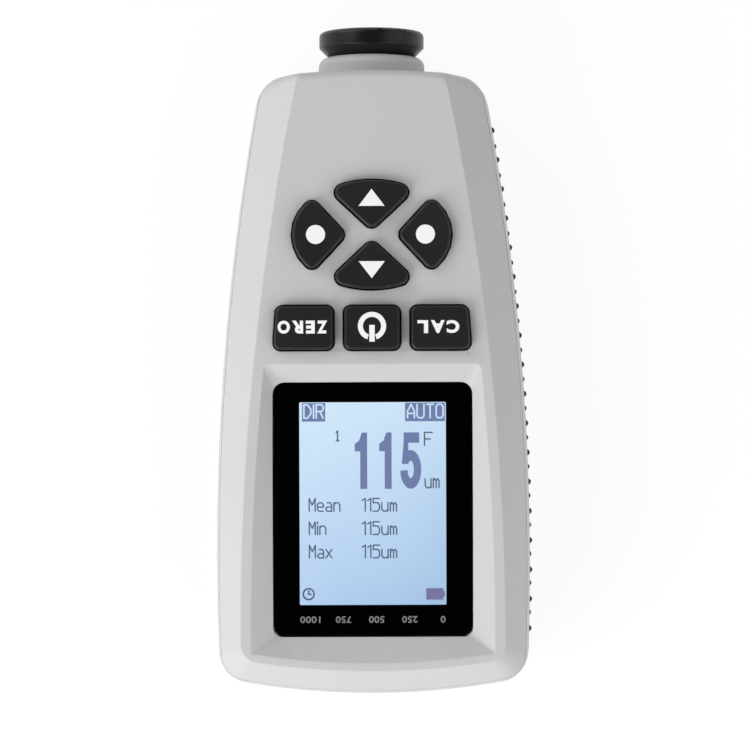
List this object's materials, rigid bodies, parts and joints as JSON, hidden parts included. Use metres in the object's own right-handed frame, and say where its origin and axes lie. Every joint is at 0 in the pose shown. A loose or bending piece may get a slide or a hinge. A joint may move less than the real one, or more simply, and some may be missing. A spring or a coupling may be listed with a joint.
{
  "type": "coating thickness gauge",
  "caption": "Handheld coating thickness gauge with a sunk display, rubber keypad, sprung probe in a guard ring, dotted side grips and a sliding battery door.",
  "frame": {"origin": "under the middle of the gauge's box, on the surface that it lies on", "axes": "+X across to the right seen from the front, +Y towards the probe, +Z out of the front face"},
  "size_m": [0.055, 0.1146, 0.0284],
  "materials": {
    "case_grey": "fine spark-eroded moulding texture",
    "grip_rubber": "matte soft rubber with dots",
    "lens_clear": "clear polished acrylic",
    "frame_black": "black adhesive frame",
    "display_blue": "pale blue lit display",
    "backlight_white": "white light guide",
    "board_green": "green solder mask",
    "chip_black": "moulded chip package",
    "mat_rubber": "silicone sheet",
    "key_rubber": "matte silicone",
    "guard_black": "turned acetal",
    "probe_steel": "turned and polished",
    "coil_copper": "enamelled copper winding",
    "spring_steel": "bright wire",
    "cell_jacket": "printed cell jacket with no print",
    "contact_nickel": "nickel plated strip",
    "screw_steel": "zinc plated"
  },
  "bodies": {
    "case": {"front_shell": "case_grey", "rear_shell": "case_grey", "grip_left": "grip_rubber", "grip_right": "grip_rubber", "display_lens": "lens_clear", "lens_frame": "frame_black", "lcd_glass": "display_blue", "lcd_backlight": "backlight_white", "main_board": "board_green", "processor": "chip_black", "keypad_mat": "mat_rubber", "probe_guard": "guard_black", "probe_spring": "spring_steel", "probe_cap": "guard_black", "battery_left": "cell_jacket", "battery_right": "cell_jacket", "contact_springs": "spring_steel", "contact_bridge": "contact_nickel", "contact_terminals": "contact_nickel", "case_screws": "screw_steel", "board_screws": "screw_steel"},
    "door": {"battery_door": "case_grey"},
    "up_key": {"key_up": "key_rubber"},
    "down_key": {"key_down": "key_rubber"},
    "left_key": {"key_left": "key_rubber"},
    "right_key": {"key_right": "key_rubber"},
    "zero_key": {"key_zero": "key_rubber"},
    "power_key": {"key_power": "key_rubber"},
    "cal_key": {"key_cal": "key_rubber"},
    "probe": {"probe_sleeve": "probe_steel", "probe_core": "probe_steel", "probe_winding": "coil_copper"}
  },
  "joints": [
    {"name": "door_slide", "type": "slide", "parent": "case", "child": "door", "axis": [0, -1, 0], "range_m": [0, 0.05]},
    {"name": "up_press", "type": "slide", "parent": "case", "child": "up_key", "axis": [0, 0, -1], "range_m": [0, 0.0008], "stiffness_N_per_m": 1200},
    {"name": "down_press", "type": "slide", "parent": "case", "child": "down_key", "axis": [0, 0, -1], "range_m": [0, 0.0008], "stiffness_N_per_m": 1200},
    {"name": "left_press", "type": "slide", "parent": "case", "child": "left_key", "axis": [0, 0, -1], "range_m": [0, 0.0008], "stiffness_N_per_m": 1200},
    {"name": "right_press", "type": "slide", "parent": "case", "child": "right_key", "axis": [0, 0, -1], "range_m": [0, 0.0008], "stiffness_N_per_m": 1200},
    {"name": "zero_press", "type": "slide", "parent": "case", "child": "zero_key", "axis": [0, 0, -1], "range_m": [0, 0.0008], "stiffness_N_per_m": 1200},
    {"name": "power_press", "type": "slide", "parent": "case", "child": "power_key", "axis": [0, 0, -1], "range_m": [0, 0.0008], "stiffness_N_per_m": 1200},
    {"name": "cal_press", "type": "slide", "parent": "case", "child": "cal_key", "axis": [0, 0, -1], "range_m": [0, 0.0008], "stiffness_N_per_m": 1200},
    {"name": "probe_push", "type": "slide", "parent": "case", "child": "probe", "axis": [0, -1, 0], "range_m": [0, 0.0012], "stiffness_N_per_m": 600, "deforming": ["probe_spring"]}
  ]
}
